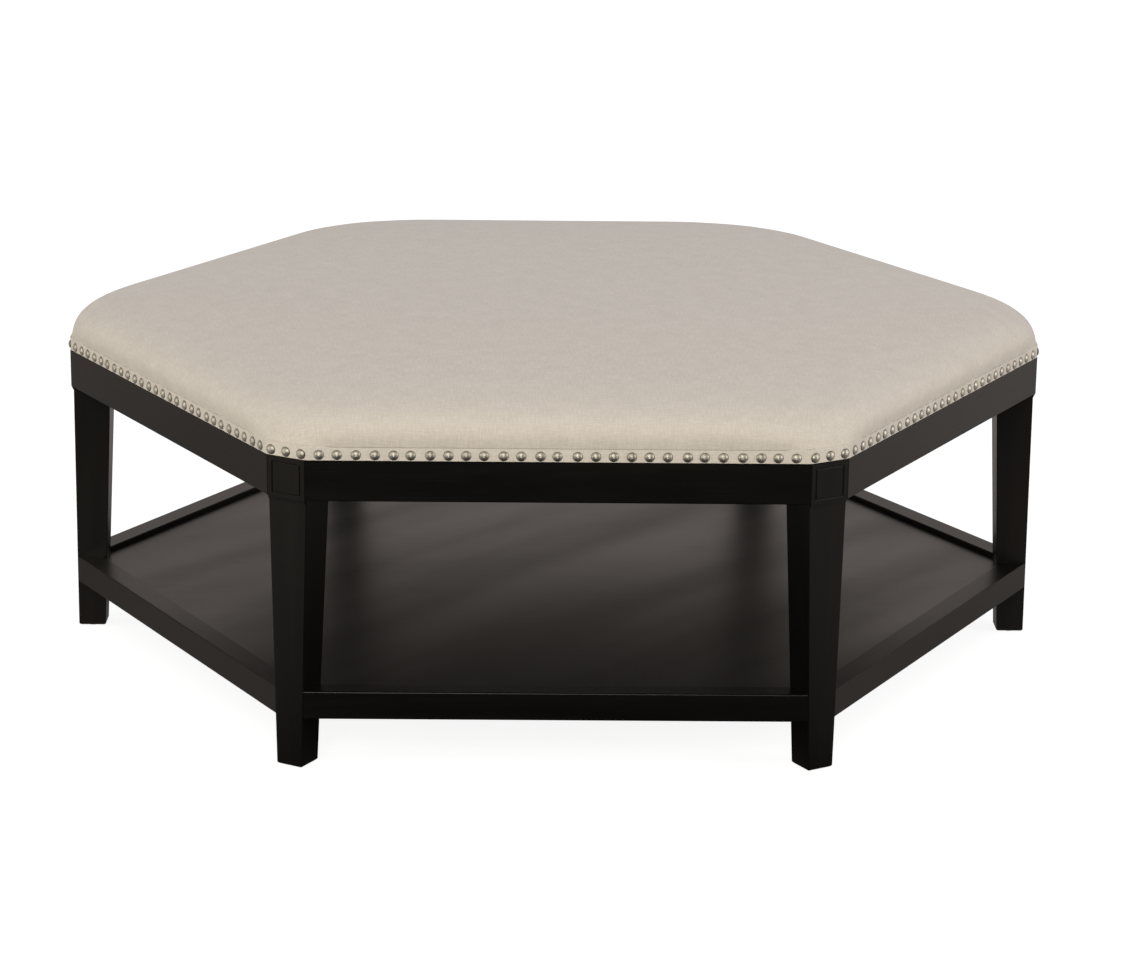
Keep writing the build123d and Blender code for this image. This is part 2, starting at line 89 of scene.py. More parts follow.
class Amount:
    """A shader value: working with it adds the Math nodes it needs"""

    def __init__(self, finish, socket):
        self.finish = finish
        self.socket = socket

    def __add__(self, other):
        return self.finish.math("ADD", self, other)

    __radd__ = __add__

    def __sub__(self, other):
        return self.finish.math("SUBTRACT", self, other)

    def __rsub__(self, other):
        return self.finish.math("SUBTRACT", other, self)

    def __mul__(self, other):
        return self.finish.math("MULTIPLY", self, other)

    __rmul__ = __mul__

    def __truediv__(self, other):
        return self.finish.math("DIVIDE", self, other)

    def __rtruediv__(self, other):
        return self.finish.math("DIVIDE", other, self)


class Finish:
    """The node tree of one finish, built up node by node"""

    def __init__(self, owner):
        owner.use_nodes = True
        self.owner = owner
        self.tree = owner.node_tree
        self.tree.nodes.clear()

    def add(self, kind, settings=None, sockets=None, out=0):
        """A node: its settings first, then the values or links of its sockets"""
        node = self.tree.nodes.new("ShaderNode" + kind)
        for name, value in (settings or {}).items():
            setattr(node, name, value)
        for name, value in (sockets or {}).items():
            if isinstance(value, Amount):
                self.tree.links.new(value.socket, node.inputs[name])
            else:
                node.inputs[name].default_value = value
        return Amount(self, node.outputs[out]) if node.outputs else None

    def math(self, operation, *values):
        """One Math node on the values"""
        return self.add("Math", {"operation": operation}, dict(enumerate(values)))

    def clamped(self, value, low, high, to_low=0.0, to_high=1.0):
        """Goes smoothly from to_low to to_high while the value goes from low to high"""
        return self.add("MapRange", {"interpolation_type": "SMOOTHSTEP"}, {
            "Value": value, "From Min": low, "From Max": high, "To Min": to_low,
            "To Max": to_high})

    def blend(self, share, first, second, mode="MIX"):
        """Colour mixed from the first to the second"""
        first, second = (value if isinstance(value, Amount) else (*value, 1)
                         for value in (first, second))
        return self.add("Mix", {"data_type": "RGBA", "blend_type": mode},
                        {0: share, 6: first, 7: second}, out=2)

    def split(self, vector):
        """The three parts of a vector"""
        parts = self.add("SeparateXYZ", sockets={0: vector})
        return [Amount(self, socket) for socket in parts.socket.node.outputs]

    def place(self):
        """Where a point of the piece lies, in metres"""
        return self.add("TexCoord", out=3)

    def placed(self, vector, scale=(1, 1, 1), turned=(0, 0, 0), moved=(0, 0, 0)):
        """The vector scaled, turned and moved"""
        return self.add("Mapping", {"vector_type": "POINT"}, {
            "Vector": vector, "Location": moved, "Rotation": turned, "Scale": scale})

    def noise(self, vector, scale=1.0, detail=2.0, roughness=0.5, distortion=0.0):
        """Soft noise between 0 and 1"""
        return self.add("TexNoise", sockets={
            "Vector": vector, "Scale": scale, "Detail": detail, "Roughness": roughness,
            "Distortion": distortion})

    def bump(self, height, distance, strength=1.0, under=None):
        """Normal raised by the height times the distance"""
        sockets = {"Height": height, "Distance": distance, "Strength": strength}
        if under is not None:
            sockets["Normal"] = under
        return self.add("Bump", sockets=sockets)

    def rays(self):
        """Whether a ray comes from the camera, and whether it is a mirrored or a clear one"""
        kinds = self.add("LightPath").socket.node.outputs
        seen, glossy, clear = (Amount(self, kinds[f"Is {kind} Ray"])
                               for kind in ("Camera", "Glossy", "Transmission"))
        return seen, self.math("MAXIMUM", glossy, clear)

    def end(self, **sockets):
        """The shader that ends the finish, from its sockets' names and values"""
        named = {}
        for name, value in sockets.items():
            name = name.replace("_", " ")
            if name.endswith(("Color", "Tint")) and isinstance(value, tuple):
                value = (*value, 1)
            named[name] = value
        shader = self.add("BsdfPrincipled", sockets=named)
        self.add("OutputMaterial", sockets={"Surface": shader})
        return self.owner


def new_finish(name):
    """An empty finish with a material of its own"""
    return Finish(bpy.data.materials.new(name))


def darker(colour, share):
    """The colour with only a share of its light"""
    return tuple(value * share for value in colour)


# What the table mirrors: the light of the screens in front, at the sides and behind, and the
# share that the left one lacks
GLARE_TINT = (1.0, 0.89, 0.82, 1)
FRONT_GLARE = 0.012
SIDE_GLARE = 0.38
BACK_GLARE = 0.215
LEFT_LOSS = 0.38
SMALLEST_REACH_SQUARED = 0.0001


def studio_glare(fin, place):
    """What reflections see: a dark room in front, pale screens at the sides and the back"""
    across, depth, _ = fin.split(place)
    reach = fin.math("SQRT", across * across + depth * depth + SMALLEST_REACH_SQUARED)
    # From -1 straight in front to 1 straight behind
    aim = depth / reach
    sides = fin.clamped(aim, -0.97, -0.65, FRONT_GLARE, SIDE_GLARE)
    behind = fin.clamped(aim, -0.2, 0.9, 0.0, BACK_GLARE)
    left = fin.clamped(across / reach, -0.95, -0.5, 1.0, 0.0) * fin.clamped(aim, -0.2, 0.3)
    return (sides + behind) * (1 - left * LEFT_LOSS)


# Colours and small sizes of the finishes

BEECH = {"dark": (0.36, 0.24, 0.13), "light": (0.56, 0.41, 0.25)}
BIRCH_FACE = {"dark": (0.42, 0.27, 0.14), "light": (0.66, 0.49, 0.31)}
BIRCH_EDGE = {"dark": (0.3, 0.19, 0.1), "light": (0.6, 0.45, 0.28)}
ZINC = {"bright": (0.62, 0.62, 0.6), "dull": (0.46, 0.48, 0.5)}
NYLON = {"black": (0.02, 0.02, 0.021), "scuffed": (0.07, 0.068, 0.065)}
DUST_BLACK = {"dark": (0.012, 0.012, 0.013), "light": (0.035, 0.034, 0.034)}
SHEEN_TINT = (0.95, 0.9, 0.82)
BEECH_RELIEF = 0.12 * MM
BIRCH_RELIEF = 0.2 * MM
METAL_RELIEF = 0.02 * MM
NYLON_RELIEF = 0.03 * MM
DUST_RELIEF = 0.15 * MM
VENEER_PAIR = 3.0 * MM
DOT_PITCH = 1.6 * MM
SCUFF_HEIGHT = 0.8 * MM
SHELF_STREAKS = 0.45
SHELF_STREAKS_TURN = math.radians(-50)


# Finishes

def linen_finish(settings):
    """Oatmeal plain-weave linen, read in metres from the cover's own map"""
    fin = new_finish("Oatmeal linen")
    cloth = fin.add("UVMap", {"uv_map": "Cloth"})
    across, along, _ = fin.split(cloth)
    pitch = settings.thread_pitch
    warp = fin.math("SINE", across * (math.pi / pitch))
    weft = fin.math("SINE", along * (math.pi / pitch))
    over = fin.clamped(warp * weft, -0.25, 0.25)
    ridge = fin.math("ABSOLUTE", warp) * over + fin.math("ABSOLUTE", weft) * (1 - over)
    # Slubs: thicker stretches of yarn, about two centimetres long, in both directions
    yarns = 1 / (2 * pitch)
    warp_slub = fin.noise(fin.placed(cloth, (yarns, 60, 1)), detail=1.0)
    weft_slub = fin.noise(fin.placed(cloth, (55, yarns, 1), moved=(7, 3, 0)), detail=1.0)
    slub = fin.clamped(warp_slub, 0.35, 0.75) * 0.5 + fin.clamped(weft_slub, 0.35, 0.75) * 0.5
    flecks = fin.noise(cloth, scale=420.0, roughness=0.6)
    clouds = fin.noise(cloth, scale=34.0, detail=3.0, roughness=0.55)
    tone = 0.25 + slub * 0.3 + flecks * 0.45 + (clouds - 0.5) * 0.3
    yarn = fin.blend(fin.clamped(tone, 0.1, 1.0), tuple(settings.yarn_dark),
                     tuple(settings.yarn_light))
    # Painted shade: the yarn colour is darkened in the hollows between the threads
    painted_gap_shade = fin.clamped(ridge, 0.0, 0.55, 0.86, 1.0)
    colour = fin.blend(1.0, yarn, fin.add("CombineXYZ", sockets={0: painted_gap_shade, 1: painted_gap_shade, 2: painted_gap_shade}),
                       "MULTIPLY")
    weave = fin.bump(ridge + slub * 0.6, settings.thread_rise, strength=0.6)
    soft = fin.bump(clouds, settings.cloud_rise, under=weave)
    return fin.end(Base_Color=colour, Roughness=fin.clamped(tone, 0.1, 1.0, 0.9, 0.8),
                   Sheen_Weight=settings.sheen, Sheen_Roughness=0.5,
                   Sheen_Tint=SHEEN_TINT, Specular_IOR_Level=0.25, Normal=soft)


def lacquer_finish(name, settings, turned, streaks=0.0, streaks_turned=(0, 0, 0)):
    """Satin espresso lacquer over wood whose grain runs along X once turned"""
    fin = new_finish(name)
    place = fin.place()
    board = fin.placed(place, turned=turned)
    figure = fin.noise(fin.placed(board, (1.6, 26, 26)), detail=4.0, roughness=0.6,
                       distortion=0.7)
    pores = fin.noise(fin.placed(board, (14, 520, 520)), roughness=0.7)
    haze = fin.noise(place, scale=5.0, detail=3.0)
    tone = fin.clamped(figure, 0.34, 0.7)
    colour = fin.blend(tone, tuple(settings.dark), tuple(settings.light))
    open_pores = fin.clamped(pores, 0.56, 0.7)
    colour = fin.blend(open_pores * 0.5, colour, darker(settings.dark, 0.4))
    satin = settings.roughness + (haze - 0.5) * 0.08 + (figure - 0.5) * 0.04 + open_pores * 0.05
    coat = 0.0
    if streaks:
        # Turned in one node and stretched in the next, because one node would stretch first
        rubbed = fin.placed(fin.placed(place, turned=streaks_turned), (1.1, 7, 1))
        coat = fin.clamped(fin.noise(rubbed), 0.3, 0.7, 0.0, streaks)
    relief = fin.bump(figure * 0.5 - open_pores, settings.pore_depth, strength=0.5)
    return fin.end(Base_Color=colour, Roughness=satin, Normal=relief, Coat_Weight=coat,
                   Coat_Roughness=settings.roughness, Specular_IOR_Level=settings.gloss)


def bare_beech_finish(name, turned=(0, 0, 0)):
    """Unfinished beech whose grain runs along X once turned"""
    fin = new_finish(name)
    board = fin.placed(fin.place(), turned=turned)
    rings = fin.noise(fin.placed(board, (2, 34, 34)), detail=5.0, roughness=0.6, distortion=1.2)
    fibres = fin.noise(fin.placed(board, (20, 700, 700)), roughness=0.6)
    colour = fin.blend(fin.clamped(rings, 0.3, 0.7), BEECH["dark"], BEECH["light"])
    colour = fin.blend(fin.clamped(fibres, 0.55, 0.75) * 0.35, colour,
                       darker(BEECH["dark"], 0.55))
    return fin.end(Base_Color=colour, Roughness=0.62 + fibres * 0.2,
                   Normal=fin.bump(fibres, BEECH_RELIEF, strength=0.6))


def plywood_finish(name):
    """Birch plywood: long grain on the face, dark and pale veneers on the edge"""
    fin = new_finish(name)
    place = fin.place()
    _, _, height = fin.split(place)
    layer = fin.math("SINE", (height - frame_top) * (2 * math.pi / VENEER_PAIR))
    grain = fin.noise(fin.placed(place, (3, 45, 1)), detail=5.0, roughness=0.65, distortion=0.9)
    face = fin.blend(fin.clamped(grain, 0.3, 0.72), BIRCH_FACE["dark"], BIRCH_FACE["light"])
    edge = fin.blend(fin.clamped(layer, -0.2, 0.2), BIRCH_EDGE["dark"], BIRCH_EDGE["light"])
    _, _, facing = fin.split(fin.add("NewGeometry", out=1))
    flat = fin.clamped(fin.math("ABSOLUTE", facing), 0.5, 0.9)
    return fin.end(Base_Color=fin.blend(flat, edge, face), Roughness=0.7 + grain * 0.15,
                   Normal=fin.bump(grain, BIRCH_RELIEF, strength=0.5))


def nail_finish(name, settings, angle):
    """Antique nickel heads, rubbed bright on the dome, with painted shade and patina darkening
    them round the foot
    """
    fin = new_finish(name)
    place = fin.place()
    # How far a point stands out of the side's face or of the corner's, whichever is more
    heights = []
    for turn, tip in ((angle, nail_tip), (angle + SIDE_TO_CORNER, corner_nail_tip)):
        reach = fin.add("VectorMath", {"operation": "DOT_PRODUCT"},
                        {0: place, 1: tuple(outward(turn))}, out=1)
        heights.append(reach - (tip - settings.head_rise))
    rise = fin.math("MAXIMUM", *heights) / settings.head_rise
    patches = fin.noise(place, scale=130.0, detail=3.0, roughness=0.6)
    fine = fin.noise(place, scale=2200.0)
    # Painted shade: the colour darkens towards the foot of each dome for the contact shade there,
    # together with its patina
    foot = 1 - fin.clamped(rise + (patches - 0.5) * 0.15, 0.05, 0.48)
    colour = fin.blend(foot, tuple(settings.bright), tuple(settings.patina_and_foot_shade))
    colour = fin.blend(fin.clamped(patches, 0.5, 0.75) * 0.3, colour, tuple(settings.patina_and_foot_shade))
    return fin.end(Base_Color=colour, Metallic=1.0,
                   Roughness=settings.roughness + foot * 0.15 + (patches - 0.5) * 0.12,
                   Normal=fin.bump(fine, METAL_RELIEF, strength=0.4))


def zinc_finish(name):
    """Zinc-plated steel with its faint spangle"""
    fin = new_finish(name)
    place = fin.place()
    spangle = fin.add("TexVoronoi", {"feature": "F1"}, {"Vector": place, "Scale": 500.0}, out=1)
    shade, _, _ = fin.split(spangle)
    marks = fin.noise(place, scale=900.0, detail=3.0)
    colour = fin.blend(shade * 0.5, ZINC["bright"], ZINC["dull"])
    return fin.end(Base_Color=colour, Metallic=1.0, Roughness=0.3 + marks * 0.2,
                   Normal=fin.bump(marks, METAL_RELIEF, strength=0.4))


def nylon_finish(name):
    """Black nylon with a fine moulded texture, scuffed where it stands"""
    fin = new_finish(name)
    place = fin.place()
    _, _, height = fin.split(place)
    grain = fin.noise(place, scale=1800.0)
    scuffs = fin.noise(fin.placed(place, (90, 500, 90)), detail=3.0, roughness=0.6)
    worn = (1 - fin.clamped(height, 0.0, SCUFF_HEIGHT)) * fin.clamped(scuffs, 0.45, 0.7)
    return fin.end(Base_Color=fin.blend(worn, NYLON["black"], NYLON["scuffed"]),
                   Roughness=0.45 + grain * 0.2,
                   Normal=fin.bump(grain, NYLON_RELIEF, strength=0.5))


def dust_cloth_finish(name):
    """Black non-woven cloth with its grid of pressed dots"""
    fin = new_finish(name)
    cloth = fin.add("UVMap", {"uv_map": "Cloth"})
    across, along, _ = fin.split(cloth)
    rows, columns = (fin.math("SINE", way * (math.pi / DOT_PITCH)) for way in (across, along))
    pressed = fin.clamped(rows * columns, 0.2, 0.7)
    fibres = fin.noise(cloth, scale=900.0, detail=3.0, roughness=0.7)
    colour = fin.blend(fin.clamped(fibres, 0.35, 0.7), DUST_BLACK["dark"], DUST_BLACK["light"])
    return fin.end(Base_Color=colour, Roughness=0.9 - pressed * 0.25,
                   Normal=fin.bump(fibres - pressed * 0.6, DUST_RELIEF, strength=0.6))


# Mesh helpers

SAME_PLACE = 0.01 * MM


def merged_copy(node):
    """The CAD node's mesh as a bmesh with its loose triangles joined"""
    form = bmesh.new()
    form.from_mesh(nodes[node].data)
    bmesh.ops.remove_doubles(form, verts=form.verts, dist=SAME_PLACE)
    return form


def cut_level(form, height, keep_above=True):
    """Cuts the form level at a height and keeps one part"""
    bmesh.ops.bisect_plane(form, geom=[*form.verts, *form.edges, *form.faces],
                           plane_co=(0, 0, height), plane_no=(0, 0, 1),
                           clear_inner=keep_above, clear_outer=not keep_above)


def keep_outer_faces(form, middle):
    """Keeps the faces that look away from the middle"""
    lost = [face for face in form.faces
            if face.normal.dot(face.calc_center_median() - middle) <= 0]
    bmesh.ops.delete(form, geom=lost, context="FACES")


def open_edges(form):
    """Edges with a face on one side only"""
    return [edge for edge in form.edges if edge.is_boundary]


def rise_of(edge):
    """Height between the two ends of an edge"""
    return abs(edge.verts[0].co.z - edge.verts[1].co.z)


def new_object(name, data):
    """Object of a mesh, a lamp or a camera, put into the scene"""
    thing = bpy.data.objects.new(name, data)
    bpy.context.scene.collection.objects.link(thing)
    return thing


def new_piece(name, form, material):
    """Object of the form, smooth, riding on the table with its finish"""
    mesh = bpy.data.meshes.new(name)
    form.to_mesh(mesh)
    form.free()
    piece = new_object(name, mesh)
    mesh.materials.append(material)
    mesh.shade_smooth()
    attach(piece, "root")
    return piece


def baked(piece):
    """A bmesh of the piece with its modifiers applied"""
    bpy.context.view_layer.update()
    shown = piece.evaluated_get(bpy.context.evaluated_depsgraph_get())
    form = bmesh.new()
    mesh = bpy.data.meshes.new_from_object(shown)
    form.from_mesh(mesh)
    bpy.data.meshes.remove(mesh)
    return form


def map_cloth(form):
    """Lays the cloth's own map, in metres: flat on top and pulled down over each side"""
    layer = form.loops.layers.uv.new("Cloth")
    for face in form.faces:
        pull = outward(nearest_side(face.calc_center_median()))
        for loop in face.loops:
            place = loop.vert.co + pull * (crown_top - loop.vert.co.z)
            loop[layer].uv = place.xy


# Settings

class LinenSettings(bpy.types.PropertyGroup):
    yarn_light: FloatVectorProperty(name="Light yarn", description="Colour of the palest yarns",
                                    subtype="COLOR", default=(0.68, 0.615, 0.53))
    yarn_dark: FloatVectorProperty(name="Dark yarn", description="Colour of the darkest yarns",
                                   subtype="COLOR", default=(0.5, 0.445, 0.375))
    thread_pitch: FloatProperty(name="Thread pitch", description="Distance between threads",
                                subtype="DISTANCE", default=0.9 * MM)
    thread_rise: FloatProperty(name="Thread rise", description="Height of a thread's crown",
                               subtype="DISTANCE", default=0.07 * MM)
    cloud_rise: FloatProperty(name="Softness", description="Height of the soft unevenness",
                              subtype="DISTANCE", default=0.25 * MM)
    sheen: FloatProperty(name="Sheen", description="Strength of the fabric's nap",
                         subtype="FACTOR", min=0, max=1, default=0.25)


class SeatSettings(bpy.types.PropertyGroup):
    voxel: FloatProperty(name="Voxel", description="Grid of the remeshed cushion",
                         subtype="DISTANCE", default=8 * MM)
    start_inset: FloatProperty(name="Start inset", description="How much smaller it starts",
                               subtype="DISTANCE", default=0.4 * MM)
    smoothing: IntProperty(name="Smoothing", description="Passes that soften the start form",
                           default=5)
    pressure: FloatProperty(name="Pressure", description="Pressure that swells the cushion",
                            default=4.0)
    swell_cap: FloatProperty(name="Swell cap", description="How far the furthest point swells",
                             subtype="DISTANCE", default=1.6 * MM)
    band_height: FloatProperty(name="Band height", description="Height of the nailed band",
                               subtype="DISTANCE", default=16.6 * MM)
    band_thickness: FloatProperty(name="Band thickness", description="Thickness of the band",
                                  subtype="DISTANCE", default=1.4 * MM)
    band_cuts: IntProperty(name="Band cuts", description="Cuts along each side of the band",
                           default=150)
    band_rows: IntProperty(name="Band rows", description="Cuts up the band", default=5)
    band_puff: FloatProperty(name="Band puff", description="Rise of the band between nails",
                             subtype="DISTANCE", default=0.6 * MM)
    nail_reach: FloatProperty(name="Nail reach", description="How far a nail draws the band in",
                              subtype="DISTANCE", default=8 * MM)
    sheet_grid: FloatProperty(name="Dust cover grid", description="Size of its facets",
                              subtype="DISTANCE", default=30 * MM)
    ripple_scale: FloatProperty(name="Ripples", description="Ripples in a metre", default=9.0)
    sheet_sag: FloatProperty(name="Dust cover sag", description="Sag of the dust cover",
                             subtype="DISTANCE", default=3 * MM)


class LacquerSettings(bpy.types.PropertyGroup):
    dark: FloatVectorProperty(name="Dark grain", description="Darkest tone of the lacquer",
                              subtype="COLOR", default=(0.0013, 0.0008, 0.0006))
    light: FloatVectorProperty(name="Light grain", description="Lightest tone of the lacquer",
                               subtype="COLOR", default=(0.0038, 0.0024, 0.0018))
    roughness: FloatProperty(name="Roughness", description="Satin of the lacquer",
                             subtype="FACTOR", min=0, max=1, default=0.33)
    gloss: FloatProperty(name="Gloss", description="Strength of the clear reflections",
                         subtype="FACTOR", min=0, max=1, default=0.3)
    pore_depth: FloatProperty(name="Pore depth", description="Depth of the open grain",
                              subtype="DISTANCE", default=0.05 * MM)


class NailSettings(bpy.types.PropertyGroup):
    bright: FloatVectorProperty(name="Bright metal", description="Colour of the rubbed dome",
                                subtype="COLOR", default=(0.56, 0.53, 0.485))
    # The patina colour is also painted round each nail's foot as shade
    patina_and_foot_shade: FloatVectorProperty(name="Patina", description="Colour of the dark foot",
                                subtype="COLOR", default=(0.07, 0.062, 0.053))
    roughness: FloatProperty(name="Roughness", description="Roughness of the dome",
                             subtype="FACTOR", min=0, max=1, default=0.5)
    head_rise: FloatProperty(name="Head rise", description="Height of a nail's dome",
                             subtype="DISTANCE", default=3.2 * MM)


class StageSettings(bpy.types.PropertyGroup):
    floor_size: FloatProperty(name="Floor size", description="Length of the floor's side",
                              subtype="DISTANCE", default=60.0)
    daylight: FloatProperty(name="Room light", description="Level of the light from all round",
                            default=0.63)
    shade: FloatProperty(name="Table's shade", description="Share of glare on the nearby floor",
                         subtype="FACTOR", min=0, max=1, default=0.72)
    fade: FloatProperty(name="Screens' fade", description="Share of glare left at the horizon",
                        subtype="FACTOR", min=0, max=1, default=0.5)
    front: FloatProperty(name="Front lamp", description="Power of the softbox by the camera",
                         subtype="POWER", default=106.0)
    left: FloatProperty(name="Left lamp", description="Power of the softbox on the left",
                        subtype="POWER", default=27.0)
    right: FloatProperty(name="Right lamp", description="Power of the softbox on the right",
                         subtype="POWER", default=41.0)


class CameraSettings(bpy.types.PropertyGroup):
    place: FloatVectorProperty(name="Place", description="Where the camera stands",
                               subtype="TRANSLATION", default=(-0.04371, -4.19331, 1.37738))
    yaw: FloatProperty(name="Yaw", description="Turn to the left", subtype="ANGLE",
                       default=math.radians(-0.787))
    pitch: FloatProperty(name="Pitch", description="Tilt below the horizon", subtype="ANGLE",
                         default=math.radians(15.821))
    roll: FloatProperty(name="Roll", description="Turn about the line of sight",
                        subtype="ANGLE", default=math.radians(0.641))
    lens: FloatProperty(name="Lens", description="Focal length in millimetres",
                        default=108.5)


# Camera and stage

SENSOR_WIDTH_MM = 36
NEAREST_SEEN, FURTHEST_SEEN = 0.05, 200
WHITE = (1, 1, 1, 1)
ROOM_TINT = (0.86, 0.87, 1, 1)

# The floor as the table sees it, and as the camera does
FLOOR_PALE = (0.42, 0.41, 0.4, 1)
FLOOR_SHOWN = (0.3, 0.3, 0.3, 1)
FLOOR_GLOW = 0.88

# Distances from the middle of the table between which its shade on the floor ends
SHADE_START, SHADE_END = 0.7, 1.5

# Sine of the height over the horizon at which the screens are at their full light
FADE_END = 0.35

# Each softbox: the setting with its power, its place, what it is aimed at, its size and colour
SOFTBOXES = {
    "Front softbox": ("front", (-0.6, -4.6, 2.05), (0, -0.4, 0.35), 2.2, (1.0, 0.965, 0.8)),
    "Left softbox": ("left", (-3.6, -1.2, 0.9), (0, 0, 0.3), 1.6, (1.0, 0.99, 0.8)),
    "Right softbox": ("right", (3.6, -1.2, 1.2), (0, 0, 0.3), 1.6, (1.0, 0.99, 0.9)),
}


class OTTOMAN_OT_camera(bpy.types.Operator):
    """Sets up the camera at the photograph's viewing angle"""
    bl_idname = "ottoman.camera"
    bl_label = "Camera"

    def execute(self, context):
        settings = context.scene.ottoman_camera
        camera = new_object("Camera", bpy.data.cameras.new("Camera"))
        turn = Matrix.Rotation(settings.yaw, 4, "Z") \
            @ Matrix.Rotation(math.pi / 2 - settings.pitch, 4, "X") \
            @ Matrix.Rotation(settings.roll, 4, "Z")
        camera.matrix_world = Matrix.Translation(settings.place) @ turn
        camera.data.lens = settings.lens
        camera.data.sensor_width = SENSOR_WIDTH_MM
        camera.data.clip_start = NEAREST_SEEN
        camera.data.clip_end = FURTHEST_SEEN
        context.scene.camera = camera
        return {"FINISHED"}


class OTTOMAN_OT_stage(bpy.types.Operator):
    """Lays the pale floor and sets up the softboxes and the light of the room"""
    bl_idname = "ottoman.stage"
    bl_label = "Floor and lights"

    def execute(self, context):
        settings = context.scene.ottoman_stage
        self.add_floor(settings)
        self.light_room(context, settings)
        for name, (power, place, target, size, colour) in SOFTBOXES.items():
            self.add_softbox(name, getattr(settings, power), place, target, size, colour)
        return {"FINISHED"}

    @staticmethod
    def add_floor(settings):
        """Lays the floor: white to the camera, pale to the lamps, screens to reflections"""
        form = bmesh.new()
        bmesh.ops.create_grid(form, x_segments=1, y_segments=1, size=settings.floor_size / 2)
        mesh = bpy.data.meshes.new("Floor")
        form.to_mesh(mesh)
        form.free()
        floor = new_object("Floor", mesh)
        fin = new_finish("Studio floor")
        mesh.materials.append(fin.owner)
        seen, mirroring = fin.rays()
        place = fin.place()
        across, depth, _ = fin.split(place)
        reach = fin.math("SQRT", across * across + depth * depth)
        # The floor close to the table lies in its shade
        glare = studio_glare(fin, place) \
            * fin.clamped(reach, SHADE_START, SHADE_END, settings.shade, 1.0)
        plain = fin.add("BsdfDiffuse", sockets={"Color": FLOOR_PALE})
        shown = fin.add("AddShader", sockets={
            0: fin.add("Emission", sockets={"Color": WHITE, "Strength": FLOOR_GLOW}),
            1: fin.add("BsdfDiffuse", sockets={"Color": FLOOR_SHOWN})})
        mirrored = fin.add("Emission", sockets={"Color": GLARE_TINT, "Strength": glare})
        lit = fin.add("MixShader", sockets={0: mirroring, 1: plain, 2: mirrored})
        fin.add("OutputMaterial", sockets={"Surface": fin.add("MixShader", sockets={
            0: seen, 1: lit, 2: shown})})

    @staticmethod
    def light_room(context, settings):
        """Lights the room: white to the camera, even to the table, screens to reflections"""
        world = bpy.data.worlds.new("Studio")
        context.scene.world = world
        fin = Finish(world)
        seen, mirroring = fin.rays()
        direction = fin.add("TexCoord", out=0)
        _, _, height = fin.split(direction)
        # The screens fade towards the horizon
        glare = studio_glare(fin, direction) \
            * fin.clamped(height, 0.0, FADE_END, settings.fade, 1.0)
        plain = fin.add("Background", sockets={"Color": ROOM_TINT,
                                               "Strength": settings.daylight})
        mirrored = fin.add("Background", sockets={"Color": GLARE_TINT, "Strength": glare})
        white = fin.add("Background", sockets={"Color": WHITE, "Strength": 1.0})
        lit = fin.add("MixShader", sockets={0: mirroring, 1: plain, 2: mirrored})
        fin.add("OutputWorld", sockets={"Surface": fin.add("MixShader", sockets={
            0: seen, 1: lit, 2: white})})

    @staticmethod
    def add_softbox(name, power, place, target, size, colour):
        """Hangs a square softbox at its place, aimed at its target"""
        lamp = bpy.data.lights.new(name, "AREA")
        lamp.shape = "SQUARE"
        lamp.size = size
        lamp.energy = power
        lamp.color = colour
        softbox = new_object(name, lamp)
        softbox.location = place
        aim = Vector(target) - Vector(place)
        softbox.rotation_euler = aim.to_track_quat("-Z", "Y").to_euler()


# Seat

# The cushion is cut from the CAD cover at this foot, with a skirt below it for the remesh. Its
# foot is neither softened nor swelled, and it is trimmed just over the deck
CUSHION_FOOT = frame_top + 12 * MM
SKIRT = 20 * MM
SOFTENED_ABOVE = deck_top + 4 * MM
HELD_BELOW = deck_top + 1 * MM
SWELL_FRAMES = 20
TRIM_HEIGHT = deck_top + 0.3 * MM
UNDERSIDE_INSET = 4 * MM

# The band starts as a strip cut from the CAD cover, and stands just over the frame
BAND_CUT_LOW, BAND_CUT_HIGH = frame_top + 2 * MM, frame_top + 4 * MM
BAND_LIFT = 0.3 * MM
STRAIGHT_ENOUGH = math.radians(0.2)
LEVEL_RISE = 1 * MM
SHORTEST_SIDE = 20 * MM
FOLD_SHARE = 0.4


